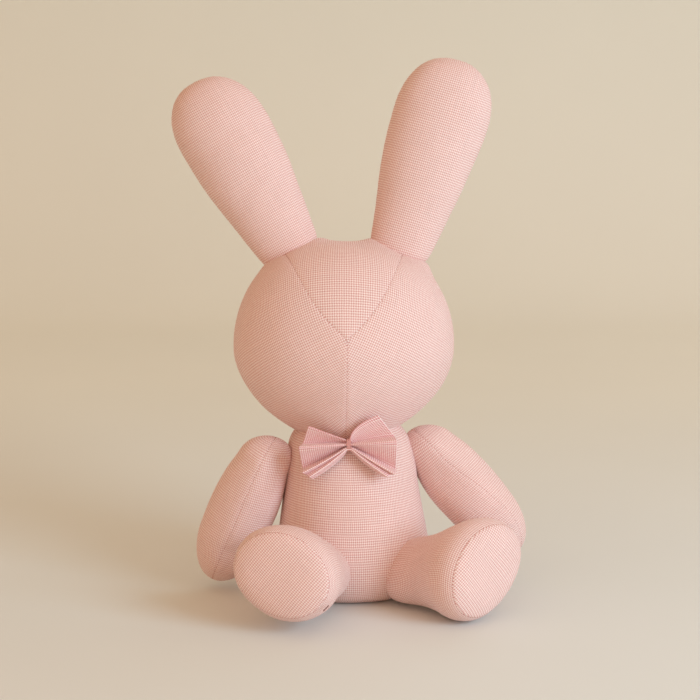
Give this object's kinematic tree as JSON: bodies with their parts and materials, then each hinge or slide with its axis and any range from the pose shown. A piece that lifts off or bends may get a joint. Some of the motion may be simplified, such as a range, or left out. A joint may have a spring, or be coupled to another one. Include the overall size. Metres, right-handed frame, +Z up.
{
  "type": "stuffed bunny rabbit",
  "caption": "Sitting stuffed rabbit with long ears, tube arms and legs, and a pleated bow at the neck, sewn from woven pink cloth panels over soft filling.",
  "frame": {"origin": "the middle of the flat base that the rabbit sits on", "axes": "+Z up, the rabbit faces -Y, its own left side is +X"},
  "size_m": [0.2674, 0.2147, 0.3988],
  "materials": {
    "pink_cloth": "matte",
    "bow_cloth": "matte",
    "thread": "matte",
    "polyester_stuffing": "matte",
    "pellet_bag": "matte"
  },
  "bodies": {
    "torso": {"torso_front": "pink_cloth", "torso_back_left": "pink_cloth", "torso_back_right": "pink_cloth", "torso_base": "pink_cloth", "torso_stuffing": "polyester_stuffing", "pellet_bag": "pellet_bag"},
    "head": {"head_forehead": "pink_cloth", "head_cheek_left": "pink_cloth", "head_cheek_right": "pink_cloth", "head_back_left": "pink_cloth", "head_back_right": "pink_cloth", "head_stuffing": "polyester_stuffing"},
    "ear_left": {"ear_left_front": "pink_cloth", "ear_left_back": "pink_cloth", "ear_left_stuffing": "polyester_stuffing"},
    "ear_right": {"ear_right_front": "pink_cloth", "ear_right_back": "pink_cloth", "ear_right_stuffing": "polyester_stuffing"},
    "arm_left": {"arm_left_outer": "pink_cloth", "arm_left_inner": "pink_cloth", "arm_left_stuffing": "polyester_stuffing"},
    "arm_right": {"arm_right_outer": "pink_cloth", "arm_right_inner": "pink_cloth", "arm_right_stuffing": "polyester_stuffing"},
    "leg_left": {"leg_left_tube": "pink_cloth", "leg_left_sole": "pink_cloth", "leg_left_stuffing": "polyester_stuffing"},
    "leg_right": {"leg_right_tube": "pink_cloth", "leg_right_sole": "pink_cloth", "leg_right_stuffing": "polyester_stuffing"},
    "bow": {"bow_cloth": "bow_cloth", "bow_stitching": "thread"}
  },
  "joints": [
    {"name": "head_nod", "type": "hinge", "parent": "torso", "child": "head", "pos_m": [-0.00417, 0.01428, 0.119], "axis": [1, 0, 0], "range_deg": [-5, 5], "stiffness_Nm_per_rad": 1.5},
    {"name": "ear_left_bend", "type": "hinge", "parent": "head", "child": "ear_left", "pos_m": [0.03504, 0.03643, 0.25834], "axis": [0.9563, -0.0356, -0.2902], "range_deg": [-20, 25], "stiffness_Nm_per_rad": 0.25},
    {"name": "ear_right_bend", "type": "hinge", "parent": "head", "child": "ear_right", "pos_m": [-0.05017, 0.03637, 0.25784], "axis": [0.8704, 0.06, 0.4887], "range_deg": [-20, 25], "stiffness_Nm_per_rad": 0.25},
    {"name": "arm_left_lift", "type": "hinge", "parent": "torso", "child": "arm_left", "pos_m": [0.0598, 0.0225, 0.102], "axis": [0.454, -0.7094, 0.5391], "range_deg": [0, 45], "stiffness_Nm_per_rad": 0.2},
    {"name": "arm_right_lift", "type": "hinge", "parent": "torso", "child": "arm_right", "pos_m": [-0.0692, -0.003, 0.099], "axis": [0.1077, 0.994, 0.0192], "range_deg": [0, 50], "stiffness_Nm_per_rad": 0.2},
    {"name": "leg_left_lift", "type": "hinge", "parent": "torso", "child": "leg_left", "pos_m": [0.04665, -0.03096, 0.031], "axis": [-0.5421, -0.5733, -0.6144], "range_deg": [-8, 14], "stiffness_Nm_per_rad": 0.5},
    {"name": "leg_right_lift", "type": "hinge", "parent": "torso", "child": "leg_right", "pos_m": [-0.03059, -0.04738, 0.031], "axis": [-0.7253, 0.3144, 0.6124], "range_deg": [-8, 14], "stiffness_Nm_per_rad": 0.5},
    {"name": "bow_swivel", "type": "hinge", "parent": "torso", "child": "bow", "pos_m": [-0.0042, -0.033, 0.1195], "axis": [0, 1, 0], "range_deg": [-8, 8], "stiffness_Nm_per_rad": 0.02}
  ]
}
